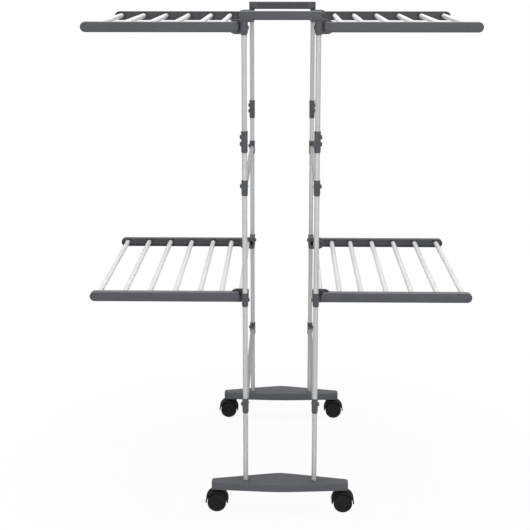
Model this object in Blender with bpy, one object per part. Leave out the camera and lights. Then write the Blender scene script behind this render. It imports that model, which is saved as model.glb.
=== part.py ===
"""A rolling clothes drying rack with two tiers of folding trays.

Two end frames, each a moulded base on two castors with a pair of poles and a top bar, are joined
by four cross tubes and four fixed rods. Four trays of six rods fold down about the brackets.
Metres, +Z up, +X to the right and the front end at -Y, with the origin on the floor in the middle.
"""

import math

import bmesh
import bpy
from mathutils import Matrix, Vector

# Main sizes
POLE_SPACING = 0.146
END_FRAME_SPACING = 0.540
OVERALL_HEIGHT = 1.054
TRAY_REACH = 0.398
POLE_RADIUS = 0.00525
FIT = 0.0003
OVERRUN = 0.002
BOND = 0.0012

# Heights above the floor
BASE_BOTTOM = 0.0480
LOWER_TEE_HEIGHT = 0.237
LOWER_TRAY_HEIGHT = 0.469
COUPLING_HEIGHT = 0.797
UPPER_TEE_DROP = 0.0934

# Bases
BASE_LENGTH = 0.292
BASE_MID_DEPTH = 0.060
BASE_END_DEPTH = 0.020
BASE_THICKNESS = 0.0184
BASE_ARCH = 0.0048
BASE_APEX_ROUND = 0.014
BASE_END_ROUND = 0.005
BASE_TOP_ROUND = 0.003
BASE_WALL = 0.0024
BASE_RIB = 0.0018
BASE_SOCKET_WALL = 0.0024
BASE_SOCKET_DEPTH = 0.0130

# Castors
WHEEL_RADIUS = 0.020
WHEEL_WIDTH = 0.0126
WHEEL_RIM = 0.0034
WHEEL_DISH = 0.0016
TREAD_ROUND = 0.0018
AXLE_RADIUS = 0.0030
CASTOR_TRAIL = 0.013
CASTOR_INSET = 0.024
HOOD_REACH = 0.0243
HOOD_GAP = 0.0015
HOOD_TOP_CLEARANCE = 0.0034
HOOD_OVERHANG = 0.0006
WEB_THICKNESS = 0.0066
WEB_RADIUS = 0.0105
STEM_RADIUS = 0.0040
STEM_LENGTH = 0.0130
COLLAR_RADIUS = 0.0070
COLLAR_BOTTOM = 0.0300

# Couplings and tees on the poles
SLEEVE_RADIUS = 0.0068
SLEEVE_TAPER = 0.0007
SLEEVE_TAPER_LENGTH = 0.004
COUPLING_LENGTH = 0.0436
COUPLING_STOP = 0.0016
COUPLING_SCREW_SPACING = 0.0142
COUPLING_SCREW_RISE = 0.0028
TEE_LENGTH = 0.0324
TEE_SCREW_RISE = 0.0036
TEE_SOCKET_REACH = 0.020
TEE_SOCKET_FLOOR = 0.0016
SCREW_BOSS_RADIUS = 0.0044
SCREW_BOSS_REACH = 0.0028
SCREW_BOSS_ROUND = 0.0010

# Tray brackets, measured out from the pole and in from the plane of the poles
BRACKET_LENGTH = 0.029
PIVOT_OUT = 0.0230
PLATE_END_OUT = 0.0180
PLATE_THICKNESS = 0.0041
PLATE_INNER_ROUND = 0.004
ARM_START = 0.0167
PLATE_GAP = 0.0006
WEB_OUT = 0.0062
WEB_IN = 0.0050
WEB_MARGIN = 0.0012
PIN_RADIUS = 0.0048
PIN_LENGTH = 0.0105
RING_RADIUS = 0.0080
RING_HEIGHT = 0.0020
RING_HOLE_RADIUS = 0.0036
RING_HOLE_DEPTH = 0.0050
ROD_SOCKET_OUT = 0.0110
ROD_SOCKET_HEIGHT = 0.0046
ROD_SOCKET_WALL = 0.0018
POCKET_OUT = 0.0035
POCKET_RADIUS = 0.0048
POCKET_DEPTH = 0.012

# Top bars
TOP_BAR_LENGTH = 0.159
TOP_BAR_HEIGHT = 0.0172
TOP_BAR_DEPTH = 0.0170
TOP_BAR_WALL = 0.0022
TOP_BAR_RIB = 0.0016
TOP_BAR_END_ROUND = 0.0045
TOP_BAR_EDGE_ROUND = 0.0014
TOP_BAR_SOCKET_BLOCK = 0.020
TOP_BAR_SOCKET_DEPTH = 0.0130

# Trays
ARM_HEIGHT = 0.0205
ARM_THICKNESS = 0.0146
ARM_HEEL_RADIUS = 0.0128
ARM_WALL = 0.0022
ARM_FACE = 0.0030
ARM_EDGE_ROUND = 0.0022
HUB_WALL = 0.0022
ROD_COUNT = 6
ROD_RADIUS = 0.0055
OUTER_ROD_INSET = 0.016
INNER_ROD_OUT = 0.0285
INNER_GAP_SHARE = 0.8585
ROD_SEAT_DEPTH = 0.0080
ROD_BOSS_WALL = 0.0018
STRETCHER_RADIUS = 0.0050

# Facets
POLE_SIDES = 10
ROD_SIDES = 8
WHEEL_SIDES = 16
BOSS_SIDES = 8
ARC_STEPS = 4
END_ARC_STEPS = 6
HOOD_ARC_STEPS = 10
SMOOTH_ANGLE = math.radians(35)
FLAT_ANGLE = math.radians(0.2)
ROUND_PROFILE_SHARE = 0.5
CLEAN_DISTANCE = 0.000002

# Sizes that follow from the others
TOP_BAR_BOTTOM = OVERALL_HEIGHT - TOP_BAR_HEIGHT
UPPER_TRAY_HEIGHT = TOP_BAR_BOTTOM - FIT - BRACKET_LENGTH / 2
UPPER_TEE_HEIGHT = COUPLING_HEIGHT - UPPER_TEE_DROP
BASE_TOP = BASE_BOTTOM + BASE_THICKNESS
POLE_HALF = POLE_SPACING / 2
FRAME_HALF = END_FRAME_SPACING / 2
BORE_RADIUS = POLE_RADIUS + FIT
ARM_END = ARM_START + ARM_THICKNESS
PLATE_START = ARM_END + PLATE_GAP
PLATE_END = PLATE_START + PLATE_THICKNESS
PIVOT_X = POLE_HALF + PIVOT_OUT
SWIVEL_X = BASE_LENGTH / 2 - CASTOR_INSET
HOOD_WIDTH = WEB_THICKNESS + 2 * (WHEEL_WIDTH + FIT + HOOD_OVERHANG)
HOOD_TOP = BASE_BOTTOM - HOOD_TOP_CLEARANCE
RECESS_FLOOR = ARM_FACE - BOND

SIDES = {"left": -1, "right": 1}
ENDS = {"front": 1, "rear": -1}
TIERS = {"upper": UPPER_TRAY_HEIGHT, "lower": LOWER_TRAY_HEIGHT}
TEES = {"upper": UPPER_TEE_HEIGHT, "lower": LOWER_TEE_HEIGHT}


# Shapes

def round_bar(start, end, radius, sides, end_radius=None):
    """A closed bar of round section between two points."""
    start, end = Vector(start), Vector(end)
    along = end - start
    turn = along.to_track_quat("Z", "Y").to_matrix().to_4x4()
    bm = bmesh.new()
    bmesh.ops.create_cone(
        bm, cap_ends=True, segments=sides, depth=along.length,
        radius1=radius, radius2=radius if end_radius is None else end_radius,
        matrix=Matrix.Translation((start + end) / 2) @ turn)
    return as_mesh(bm)


def block(low, high):
    """A closed box between its lowest and highest corners."""
    low, high = Vector(low), Vector(high)
    bm = bmesh.new()
    bmesh.ops.create_cube(bm, size=1)
    bmesh.ops.scale(bm, vec=high - low, verts=bm.verts)
    bmesh.ops.translate(bm, vec=(low + high) / 2, verts=bm.verts)
    return as_mesh(bm)


def loft(rings):
    """A closed skin over a row of rings that have as many points each."""
    bm = bmesh.new()
    loops = [[bm.verts.new(point) for point in ring] for ring in rings]
    for near, far in zip(loops, loops[1:]):
        for here in range(len(near)):
            after = (here + 1) % len(near)
            bm.faces.new((near[here], near[after], far[after], far[here]))
    bm.faces.new(list(reversed(loops[0])))
    bm.faces.new(loops[-1])
    bmesh.ops.recalc_face_normals(bm, faces=bm.faces)
    return as_mesh(bm)


def side_extrusion(outline, start, end):
    """An outline in X and Z, pushed along Y from start to end."""
    return loft([[(x, y, z) for x, z in outline] for y in (start, end)])


def turned(profile, sides):
    """A closed ring turned about Y from a closed profile of radius and Y."""
    rings = []
    for step in range(sides):
        angle = 2 * math.pi * step / sides
        rings.append([(r * math.cos(angle), y, r * math.sin(angle)) for r, y in profile])
    bm = bmesh.new()
    loops = [[bm.verts.new(point) for point in ring] for ring in rings]
    for step, near in enumerate(loops):
        far = loops[(step + 1) % sides]
        for here in range(len(near)):
            after = (here + 1) % len(near)
            bm.faces.new((near[here], near[after], far[after], far[here]))
    bmesh.ops.recalc_face_normals(bm, faces=bm.faces)
    return as_mesh(bm)


def arc(centre, radii, first, last, steps=ARC_STEPS):
    """Points along an arc, or part of an ellipse, between two angles in degrees."""
    points = []
    for step in range(steps + 1):
        angle = math.radians(first + (last - first) * step / steps)
        points.append((centre[0] + radii[0] * math.cos(angle),
                       centre[1] + radii[1] * math.sin(angle)))
    return points


def turning_bore(radius, sides):
    """The corner radius of a hole in which a pin with as many sides turns freely."""
    return (radius + FIT) / math.cos(math.pi / sides)


def as_mesh(bm):
    mesh = bpy.data.meshes.new("shape")
    bm.to_mesh(mesh)
    bm.free()
    return mesh


def combined(first, second, operation):
    """What is left when one closed shape is joined to another, or cut by it."""
    body, tool = (bpy.data.objects.new("shape", mesh) for mesh in (first, second))
    for piece in (body, tool):
        bpy.context.scene.collection.objects.link(piece)
    modifier = body.modifiers.new("combine", "BOOLEAN")
    modifier.object, modifier.operation = tool, operation
    depsgraph = bpy.context.evaluated_depsgraph_get()
    result = bpy.data.meshes.new_from_object(body.evaluated_get(depsgraph))
    for piece in (body, tool):
        bpy.data.objects.remove(piece)
    return result


def joined(first, *others):
    for other in others:
        first = combined(first, other, "UNION")
    return first


def cut(first, *tools):
    for tool in tools:
        first = combined(first, tool, "DIFFERENCE")
    return first


def rounded(mesh, reach, chosen):
    """The shape with the chosen edges rounded in two steps."""
    bm = bmesh.new()
    bm.from_mesh(mesh)
    edges = [edge for edge in bm.edges if chosen(*(vertex.co for vertex in edge.verts))]
    bmesh.ops.bevel(bm, geom=edges, offset=reach, segments=2, profile=ROUND_PROFILE_SHARE,
                    affect="EDGES")
    return as_mesh(bm)


def mirrored(mesh, side, end):
    """The shape for another corner of the rack, still with its faces pointing out."""
    bm = bmesh.new()
    bm.from_mesh(mesh)
    bmesh.ops.scale(bm, vec=(side, end, 1), verts=bm.verts)
    if side * end < 0:
        bmesh.ops.reverse_faces(bm, faces=bm.faces)
    return as_mesh(bm)


# Finishes and placing

def finish(name, colour, roughness, metallic):
    material = bpy.data.materials.new(name)
    material.use_nodes = True
    shader = material.node_tree.nodes["Principled BSDF"]
    shader.inputs["Base Color"].default_value = (*colour, 1)
    shader.inputs["Roughness"].default_value = roughness
    shader.inputs["Metallic"].default_value = metallic
    return material


def placed(name, mesh, material, place=(0, 0, 0), axis=None):
    """One named piece, at its place, or at its place from the empty on its joint's axis."""
    bm = bmesh.new()
    bm.from_mesh(mesh)
    bmesh.ops.remove_doubles(bm, verts=bm.verts, dist=CLEAN_DISTANCE)
    bmesh.ops.dissolve_degenerate(bm, dist=CLEAN_DISTANCE, edges=bm.edges)
    bmesh.ops.dissolve_limit(bm, angle_limit=FLAT_ANGLE, verts=bm.verts, edges=bm.edges)
    own = as_mesh(bm)
    own.name = name
    own.shade_smooth()
    own.set_sharp_from_angle(angle=SMOOTH_ANGLE)
    own.materials.clear()
    own.materials.append(material)
    piece = bpy.data.objects.new(name, own)
    piece.location = place
    piece.parent = axis
    bpy.context.scene.collection.objects.link(piece)
    return piece


def axis_empty(name, place, parent=None):
    empty = bpy.data.objects.new(name, None)
    empty.location = place
    empty.parent = parent
    bpy.context.scene.collection.objects.link(empty)
    return empty


# Bases

def base_half_depth(x):
    """Half the depth at a place along the base: two straight tapers that meet in a round middle."""
    half_length = BASE_LENGTH / 2
    run = math.hypot(half_length, BASE_APEX_ROUND) - BASE_APEX_ROUND
    fall = (BASE_MID_DEPTH - BASE_END_DEPTH) / 2 / run
    return BASE_MID_DEPTH / 2 - fall * (math.hypot(x, BASE_APEX_ROUND) - BASE_APEX_ROUND)


def base_rise(x):
    return BASE_ARCH * (1 - abs(x) / (BASE_LENGTH / 2))


def base_section(x, half, bottom, top, top_round):
    """One section across the base: upright sides and rounded top edges."""
    corner = (half - top_round, top - top_round)
    right = [(half, bottom)] + arc(corner, (top_round, top_round), 0, 90, 2)
    left = [(-y, z) for y, z in reversed(right)]
    return [(x, y, z + base_rise(x)) for y, z in right + left]


def base_mesh():
    half_length = BASE_LENGTH / 2
    straight = half_length - BASE_END_ROUND
    stations = [-straight, -BASE_APEX_ROUND, 0, BASE_APEX_ROUND, straight]
    rings = []
    for x in stations:
        rings.append(base_section(x, base_half_depth(x), BASE_BOTTOM, BASE_TOP, BASE_TOP_ROUND))
    for turn in (45, 90):
        inset = BASE_END_ROUND * (1 - math.cos(math.radians(turn)))
        x = straight + BASE_END_ROUND * math.sin(math.radians(turn))
        for ring_side in (-1, 1):
            ring = base_section(ring_side * x, base_half_depth(x) - inset, BASE_BOTTOM,
                                BASE_TOP - inset / 2, BASE_TOP_ROUND)
            rings.insert(0 if ring_side < 0 else len(rings), ring)
    shell = loft(rings)

    hollow_top = BASE_TOP - BASE_WALL - BASE_TOP_ROUND / 2
    inner_half = half_length - BASE_END_ROUND - BASE_WALL
    hollow_rings = []
    for x in stations:
        place = x * inner_half / straight
        hollow_rings.append(base_section(place, base_half_depth(place) - BASE_WALL,
                                         BASE_BOTTOM - OVERRUN, hollow_top, BASE_TOP_ROUND))
    shell = cut(shell, loft(hollow_rings))

    rib_foot, rib_top = BASE_BOTTOM + BASE_ARCH, hollow_top + BOND
    rib_end = inner_half + BOND
    rib = [(-rib_end, rib_foot), (rib_end, rib_foot), (rib_end, rib_top + base_rise(rib_end)),
           (0, rib_top + base_rise(0)), (-rib_end, rib_top + base_rise(rib_end))]
    reach = base_half_depth(0) - BASE_WALL + BOND
    ribs = [side_extrusion(rib, -BASE_RIB / 2, BASE_RIB / 2),
            block((-BASE_RIB / 2, -reach, rib_foot),
                  (BASE_RIB / 2, reach, rib_top + base_rise(BASE_RIB / 2)))]
    sockets, bores = [], []
    socket_floor = BASE_TOP - BASE_SOCKET_DEPTH
    stem_top = BASE_BOTTOM + STEM_LENGTH + FIT
    stem_bore = turning_bore(STEM_RADIUS, BOSS_SIDES)
    for side in SIDES.values():
        pole_x = side * POLE_HALF
        stem_x = side * SWIVEL_X
        sockets.append(round_bar((pole_x, 0, socket_floor - BASE_SOCKET_WALL),
                                 (pole_x, 0, rib_top + base_rise(pole_x)),
                                 BORE_RADIUS + BASE_SOCKET_WALL, POLE_SIDES))
        sockets.append(round_bar((stem_x, 0, BASE_BOTTOM + base_rise(stem_x)),
                                 (stem_x, 0, rib_top + base_rise(stem_x)),
                                 stem_bore + BASE_SOCKET_WALL, POLE_SIDES))
        bores.append(round_bar((pole_x, 0, socket_floor), (pole_x, 0, BASE_TOP + BASE_ARCH + OVERRUN),
                               BORE_RADIUS, POLE_SIDES))
        bores.append(round_bar((stem_x, 0, BASE_BOTTOM - OVERRUN), (stem_x, 0, stem_top),
                               stem_bore, BOSS_SIDES))
    return cut(joined(shell, *ribs, *sockets), *bores)


# Castors, modelled about the swivel axis with the wheels trailing to +X

def castor_housing_mesh():
    hub = (CASTOR_TRAIL, WHEEL_RADIUS)
    room = WHEEL_RADIUS + HOOD_GAP
    outline = arc(hub, (HOOD_REACH, HOOD_TOP - WHEEL_RADIUS), 0, 180, HOOD_ARC_STEPS)
    hood = side_extrusion(outline, -HOOD_WIDTH / 2, HOOD_WIDTH / 2)
    collar = round_bar((0, 0, COLLAR_BOTTOM), (0, 0, BASE_BOTTOM - FIT), COLLAR_RADIUS, POLE_SIDES)
    reach = HOOD_WIDTH / 2 + OVERRUN
    wheel_room = round_bar((hub[0], -reach, hub[1]), (hub[0], reach, hub[1]), room, WHEEL_SIDES)
    hood = cut(joined(hood, collar), wheel_room)
    web_reach = (room + HOOD_REACH) / 2
    lean = math.degrees(math.asin(WEB_RADIUS / web_reach))
    tongue = arc(hub, (web_reach, web_reach), 90 - lean, 90 + lean)
    tongue += arc(hub, (WEB_RADIUS, WEB_RADIUS), 180, 360, END_ARC_STEPS)
    web = side_extrusion(tongue, -WEB_THICKNESS / 2, WEB_THICKNESS / 2)
    axle_reach = WEB_THICKNESS / 2 + FIT + WHEEL_WIDTH - WHEEL_DISH
    axle = round_bar((hub[0], -axle_reach, hub[1]), (hub[0], axle_reach, hub[1]),
                     AXLE_RADIUS, BOSS_SIDES)
    stem = round_bar((0, 0, HOOD_TOP - BOND), (0, 0, BASE_BOTTOM + STEM_LENGTH),
                     STEM_RADIUS, BOSS_SIDES)
    return joined(hood, web, axle, stem)


def wheel_mesh():
    """One wheel about its axle, with its inner face at y = 0 and its dished face outwards."""
    bore = turning_bore(AXLE_RADIUS, WHEEL_SIDES)
    rim_inner = WHEEL_RADIUS - TREAD_ROUND - WHEEL_RIM
    profile = [
        (bore, 0), (WHEEL_RADIUS, 0), (WHEEL_RADIUS, WHEEL_WIDTH - TREAD_ROUND),
        (WHEEL_RADIUS - TREAD_ROUND, WHEEL_WIDTH), (rim_inner, WHEEL_WIDTH),
        (rim_inner - WHEEL_DISH, WHEEL_WIDTH - WHEEL_DISH), (bore, WHEEL_WIDTH - WHEEL_DISH)]
    return turned(profile, WHEEL_SIDES)


# Sleeves on the poles, modelled for the right front pole with its axis at x = y = 0

def sleeve(length):
    """A round sleeve about the pole's axis, centred on z = 0, with a tapered lower end."""
    half = length / 2
    straight = round_bar((0, 0, -half + SLEEVE_TAPER_LENGTH), (0, 0, half), SLEEVE_RADIUS, POLE_SIDES)
    taper = round_bar((0, 0, -half), (0, 0, -half + SLEEVE_TAPER_LENGTH),
                      SLEEVE_RADIUS - SLEEVE_TAPER, POLE_SIDES, SLEEVE_RADIUS)
    return weld(straight, taper)


def weld(first, second):
    """Two bars whose end rings meet, as one skin without the faces between them."""
    bm = bmesh.new()
    bm.from_mesh(first)
    bm.from_mesh(second)
    bmesh.ops.remove_doubles(bm, verts=bm.verts, dist=CLEAN_DISTANCE)
    inner = [face for face in bm.faces if all(len(edge.link_faces) > 2 for edge in face.edges)]
    bmesh.ops.delete(bm, geom=inner, context="FACES")
    return as_mesh(bm)


def screw_boss(direction, height):
    """The round head that stands out of a sleeve on one side, towards +X or -X."""
    tip = SLEEVE_RADIUS + SCREW_BOSS_REACH
    return round_bar((direction * POLE_RADIUS, 0, height), (direction * tip, 0, height),
                     SCREW_BOSS_RADIUS, BOSS_SIDES, SCREW_BOSS_RADIUS - SCREW_BOSS_ROUND)


def coupling_mesh():
    half = COUPLING_LENGTH / 2
    body = sleeve(COUPLING_LENGTH)
    for step in (-1, 1):
        body = joined(body, screw_boss(1, COUPLING_SCREW_RISE + step * COUPLING_SCREW_SPACING / 2))
    for step in (-1, 1):
        socket = round_bar((0, 0, step * COUPLING_STOP / 2), (0, 0, step * (half + OVERRUN)),
                           BORE_RADIUS, POLE_SIDES)
        body = cut(body, socket)
    return body


def tee_mesh():
    half = TEE_LENGTH / 2
    reach = BORE_RADIUS + TEE_SOCKET_FLOOR
    branch = round_bar((0, 0, 0), (0, TEE_SOCKET_REACH, 0), SLEEVE_RADIUS, POLE_SIDES)
    body = joined(sleeve(TEE_LENGTH), branch, screw_boss(1, TEE_SCREW_RISE))
    bore = round_bar((0, 0, -half - OVERRUN), (0, 0, half + OVERRUN), BORE_RADIUS, POLE_SIDES)
    socket = round_bar((0, reach, 0), (0, TEE_SOCKET_REACH + OVERRUN, 0), BORE_RADIUS, POLE_SIDES)
    return cut(body, bore, socket)


def bracket_mesh():
    """A tray bracket: its sleeve on the pole, and the plate that carries the pivot and a fixed rod."""
    half = BRACKET_LENGTH / 2
    outline = arc((PLATE_END_OUT, 0), (half, half), -90, 90, END_ARC_STEPS)
    corner = PLATE_INNER_ROUND - SLEEVE_RADIUS
    corner_radii = (PLATE_INNER_ROUND, PLATE_INNER_ROUND)
    outline += arc((corner, half - PLATE_INNER_ROUND), corner_radii, 90, 180, 1)
    outline += arc((corner, PLATE_INNER_ROUND - half), corner_radii, 180, 270, 1)
    plate = side_extrusion(outline, PLATE_START, PLATE_END)
    web = block((-WEB_IN, 0, WEB_MARGIN - half), (WEB_OUT, PLATE_START + BOND, half - WEB_MARGIN))
    pin = round_bar((PIVOT_OUT, PLATE_START + BOND, 0), (PIVOT_OUT, PLATE_START - PIN_LENGTH, 0),
                    PIN_RADIUS, BOSS_SIDES)
    ring = round_bar((PIVOT_OUT, PLATE_END - BOND, 0), (PIVOT_OUT, PLATE_END + RING_HEIGHT, 0),
                     RING_RADIUS, POLE_SIDES)
    rod_bore = STRETCHER_RADIUS + FIT
    socket_face = PLATE_END + ROD_SOCKET_HEIGHT
    rod_socket = round_bar((ROD_SOCKET_OUT, PLATE_END - BOND, 0), (ROD_SOCKET_OUT, socket_face, 0),
                           rod_bore + ROD_SOCKET_WALL, POLE_SIDES)
    body = joined(sleeve(BRACKET_LENGTH), web, plate, pin, ring, rod_socket, screw_boss(-1, 0))
    bore = round_bar((0, 0, -half - OVERRUN), (0, 0, half + OVERRUN), BORE_RADIUS, POLE_SIDES)
    ring_face = PLATE_END + RING_HEIGHT
    ring_hole = round_bar((PIVOT_OUT, ring_face - RING_HOLE_DEPTH, 0),
                          (PIVOT_OUT, ring_face + OVERRUN, 0), RING_HOLE_RADIUS, BOSS_SIDES)
    rod_hole = round_bar((ROD_SOCKET_OUT, PLATE_END - PLATE_THICKNESS / 2, 0),
                         (ROD_SOCKET_OUT, socket_face + OVERRUN, 0), rod_bore, POLE_SIDES)
    pocket = round_bar((POCKET_OUT, PLATE_END - POCKET_DEPTH, 0),
                       (POCKET_OUT, socket_face + OVERRUN, 0), POCKET_RADIUS, BOSS_SIDES)
    return cut(body, bore, ring_hole, rod_hole, pocket)


# Top bars, modelled for the front end with the poles' plane at y = 0

def top_bar_mesh():
    half_length, half_depth = TOP_BAR_LENGTH / 2, TOP_BAR_DEPTH / 2
    bar = block((-half_length, -half_depth, TOP_BAR_BOTTOM), (half_length, half_depth, OVERALL_HEIGHT))
    bar = rounded(bar, TOP_BAR_END_ROUND, lambda a, b: abs(a.z - b.z) > TOP_BAR_HEIGHT / 2)
    bar = rounded(bar, TOP_BAR_EDGE_ROUND, lambda a, b: min(a.z, b.z) > OVERALL_HEIGHT - FIT)
    inner = half_length - TOP_BAR_SOCKET_BLOCK
    floor = TOP_BAR_WALL - half_depth
    channel = block((-inner, floor, TOP_BAR_BOTTOM + TOP_BAR_WALL),
                    (inner, half_depth + OVERRUN, OVERALL_HEIGHT - TOP_BAR_WALL))
    bar = cut(bar, channel)
    middle = (TOP_BAR_BOTTOM + OVERALL_HEIGHT) / 2
    rib = block((-inner - BOND, floor - BOND, middle - TOP_BAR_RIB / 2),
                (inner + BOND, half_depth - TOP_BAR_WALL, middle + TOP_BAR_RIB / 2))
    bar = joined(bar, rib)
    for side in SIDES.values():
        pole_x = side * POLE_HALF
        socket_top = TOP_BAR_BOTTOM + TOP_BAR_SOCKET_DEPTH
        bar = cut(bar, round_bar((pole_x, 0, TOP_BAR_BOTTOM - OVERRUN), (pole_x, 0, socket_top),
                                 BORE_RADIUS, POLE_SIDES))
    return bar


# Trays, modelled for the right front arm about its pivot, with its outer face at y = 0

def rod_places():
    """Distances of the rods from the pivot: the innermost, then the others at an even pitch."""
    outermost = TRAY_REACH - OUTER_ROD_INSET - PIVOT_X
    even_gaps = ROD_COUNT - 2
    pitch = (outermost - INNER_ROD_OUT) / (even_gaps + INNER_GAP_SHARE)
    return [INNER_ROD_OUT] + [outermost - step * pitch for step in range(even_gaps + 1)]


def arm_outline(inset):
    """The arm seen from the front: a round tip, straight edges and a round heel about the pivot."""
    half = ARM_HEIGHT / 2 - inset
    tip = TRAY_REACH - PIVOT_X - ARM_HEIGHT / 2
    heel = ARM_HEEL_RADIUS - inset
    lean = math.degrees(math.asin(half / heel))
    return (arc((tip, 0), (half, half), -90, 90, END_ARC_STEPS)
            + arc((0, 0), (heel, heel), 180 - lean, 180 + lean))


def arm_mesh():
    outline = arm_outline(0)
    shell = side_extrusion(outline, 0, ARM_THICKNESS)
    shell = rounded(shell, ARM_EDGE_ROUND, lambda a, b: max(a.y, b.y) < ARM_FACE)
    recess = side_extrusion(arm_outline(ARM_WALL), ARM_FACE, ARM_THICKNESS + OVERRUN)
    shell = cut(shell, recess)
    pin_bore = turning_bore(PIN_RADIUS, BOSS_SIDES)
    hub = round_bar((0, RECESS_FLOOR, 0), (0, ARM_THICKNESS, 0), pin_bore + HUB_WALL, BOSS_SIDES)
    pin_room = round_bar((0, ARM_THICKNESS + PLATE_GAP - PIN_LENGTH - FIT, 0),
                         (0, ARM_THICKNESS + OVERRUN, 0), pin_bore, BOSS_SIDES)
    return cut(joined(shell, hub), pin_room)


def arms_with_rods_and_sockets():
    """The front arm, with its rods standing on its face, and the rear arm that takes their ends."""
    rodded = socketed = arm_mesh()
    rod_tip = END_FRAME_SPACING - 2 * ARM_START - ARM_THICKNESS + ROD_SEAT_DEPTH - FIT
    for place in rod_places():
        rodded = joined(rodded, round_bar((place, RECESS_FLOOR, 0), (place, rod_tip, 0),
                                          ROD_RADIUS, ROD_SIDES))
        boss = round_bar((place, RECESS_FLOOR, 0), (place, ARM_THICKNESS, 0),
                         ROD_RADIUS + FIT + ROD_BOSS_WALL, BOSS_SIDES)
        seat = round_bar((place, ARM_THICKNESS - ROD_SEAT_DEPTH, 0),
                         (place, ARM_THICKNESS + OVERRUN, 0), ROD_RADIUS + FIT, ROD_SIDES)
        socketed = cut(joined(socketed, boss), seat)
    return rodded, socketed


def main():
    for leftover in list(bpy.data.objects):
        bpy.data.objects.remove(leftover)

    grey = finish("dark grey plastic", (0.107, 0.110, 0.117), 0.5, 0.0)
    silver = finish("silver grey tube", (0.50, 0.51, 0.52), 0.35, 0.6)
    white = finish("pale coated rod", (0.80, 0.80, 0.81), 0.35, 0.2)
    black = finish("black castor plastic", (0.020, 0.020, 0.020), 0.45, 0.0)

    base, housing, wheel = base_mesh(), castor_housing_mesh(), wheel_mesh()
    coupling, tee, bracket, top_bar = coupling_mesh(), tee_mesh(), bracket_mesh(), top_bar_mesh()
    rodded_arm, socketed_arm = arms_with_rods_and_sockets()

    pole_foot = BASE_TOP - BASE_SOCKET_DEPTH + FIT
    joint_low = COUPLING_HEIGHT - COUPLING_STOP / 2 - FIT
    joint_high = COUPLING_HEIGHT + COUPLING_STOP / 2 + FIT
    pole_head = TOP_BAR_BOTTOM + TOP_BAR_SOCKET_DEPTH - FIT
    lower_pole = round_bar((0, 0, pole_foot), (0, 0, joint_low), POLE_RADIUS, POLE_SIDES)
    upper_pole = round_bar((0, 0, joint_high), (0, 0, pole_head), POLE_RADIUS, POLE_SIDES)

    for end_name, end in ENDS.items():
        frame_y = -end * FRAME_HALF
        placed(f"{end_name}_base", mirrored(base, 1, end), grey, (0, frame_y, 0))
        placed(f"{end_name}_top_bar", mirrored(top_bar, 1, end), grey, (0, frame_y, 0))
        for side_name, side in SIDES.items():
            pole = (side * POLE_HALF, frame_y, 0)
            corner = f"{end_name}_{side_name}"
            placed(f"{corner}_lower_pole", lower_pole, silver, pole)
            placed(f"{corner}_upper_pole", upper_pole, silver, pole)
            sleeves = [("pole_coupling", coupling, COUPLING_HEIGHT)]
            sleeves += [(f"{tier}_tee", tee, height) for tier, height in TEES.items()]
            sleeves += [(f"{tier}_bracket", bracket, height) for tier, height in TIERS.items()]
            for kind, mesh, height in sleeves:
                placed(f"{corner}_{kind}", mirrored(mesh, side, end), grey, (*pole[:2], height))

            swivel = axis_empty(f"{corner}_swivel_axis", (side * SWIVEL_X, frame_y, 0))
            placed(f"{corner}_castor_housing", mirrored(housing, side, 1), black, axis=swivel)
            axle = axis_empty(f"{corner}_axle_axis", (side * CASTOR_TRAIL, 0, WHEEL_RADIUS), swivel)
            for face_name, face in (("front", -1), ("rear", 1)):
                wheel_place = (0, face * (WEB_THICKNESS / 2 + FIT), 0)
                placed(f"{corner}_castor_{face_name}_wheel", mirrored(wheel, 1, face), black,
                       wheel_place, axle)

    tube_reach = FRAME_HALF - BORE_RADIUS - TEE_SOCKET_FLOOR - FIT
    cross_tube = round_bar((0, -tube_reach, 0), (0, tube_reach, 0), POLE_RADIUS, POLE_SIDES)
    stretcher_reach = FRAME_HALF - PLATE_END + PLATE_THICKNESS / 2 - FIT
    stretcher = round_bar((0, -stretcher_reach, 0), (0, stretcher_reach, 0),
                          STRETCHER_RADIUS, ROD_SIDES)
    arm_y = FRAME_HALF - ARM_START
    for side_name, side in SIDES.items():
        for tier, height in TEES.items():
            placed(f"{side_name}_{tier}_cross_tube", cross_tube, silver, (side * POLE_HALF, 0, height))
        for tier, height in TIERS.items():
            tray = f"{side_name}_{tier}"
            placed(f"{tray}_stretcher_rod", stretcher, white,
                   (side * (POLE_HALF + ROD_SOCKET_OUT), 0, height))
            fold = axis_empty(f"{tray}_fold_axis", (side * PIVOT_X, 0, height))
            placed(f"{tray}_front_arm_with_rods", mirrored(rodded_arm, side, 1), grey,
                   (0, -arm_y, 0), fold)
            placed(f"{tray}_rear_arm", mirrored(socketed_arm, side, -1), grey, (0, arm_y, 0), fold)


main()
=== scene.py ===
"""The looks of a rolling clothes drying rack: its detailed pieces, their finishes, light and camera."""

import math

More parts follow.
